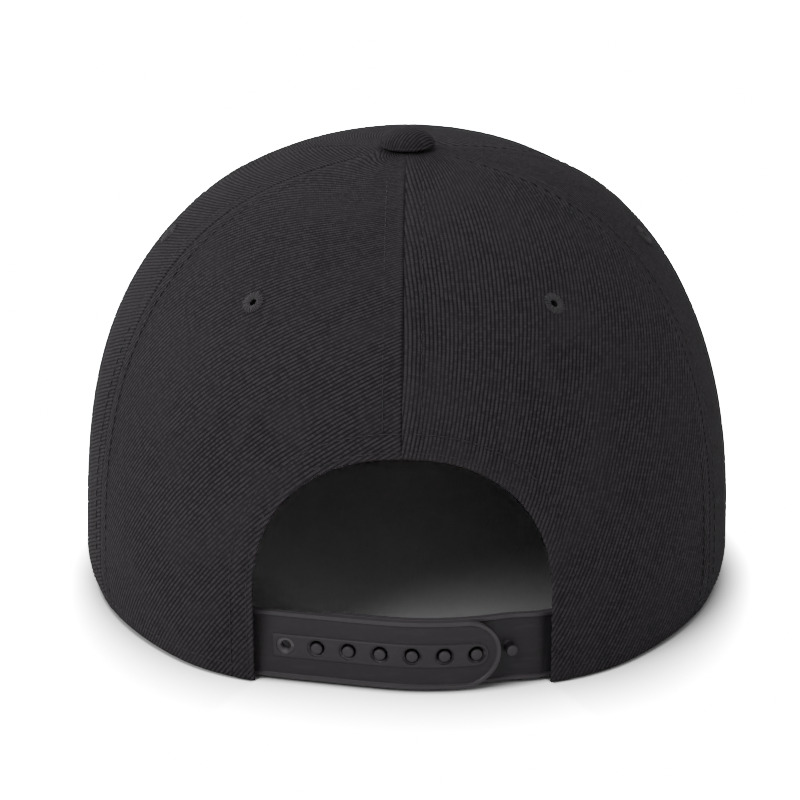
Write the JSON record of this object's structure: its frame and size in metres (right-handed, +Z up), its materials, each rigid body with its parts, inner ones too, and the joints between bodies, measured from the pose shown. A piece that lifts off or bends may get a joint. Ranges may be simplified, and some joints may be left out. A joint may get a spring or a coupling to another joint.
{
  "type": "snapback cap",
  "caption": "Twill cap with a domed panel crown, flat peak and arched back opening closed by a plastic snap strap.",
  "frame": {"origin": "middle of the cap's footprint on the surface that the hem stands on", "axes": "+Z up, +Y towards the peak, -Y towards the snap strap, +X towards the wearer's right"},
  "size_m": [0.186, 0.2742, 0.1286],
  "materials": {
    "crown_cloth": "matt black cotton twill",
    "eyelet_thread": "sewn thread",
    "strap_plastic": "satin moulded plastic"
  },
  "bodies": {
    "root": {"back_panel_left": "crown_cloth", "side_panel_left": "crown_cloth", "front_panel_left": "crown_cloth", "back_panel_right": "crown_cloth", "side_panel_right": "crown_cloth", "front_panel_right": "crown_cloth", "eyelet_back_left": "eyelet_thread", "eyelet_side_left": "eyelet_thread", "eyelet_front_left": "eyelet_thread", "eyelet_back_right": "eyelet_thread", "eyelet_side_right": "eyelet_thread", "eyelet_front_right": "eyelet_thread", "top_button": "crown_cloth", "brim": "crown_cloth", "strap_left": "strap_plastic", "strap_right": "strap_plastic"}
  },
  "joints": []
}
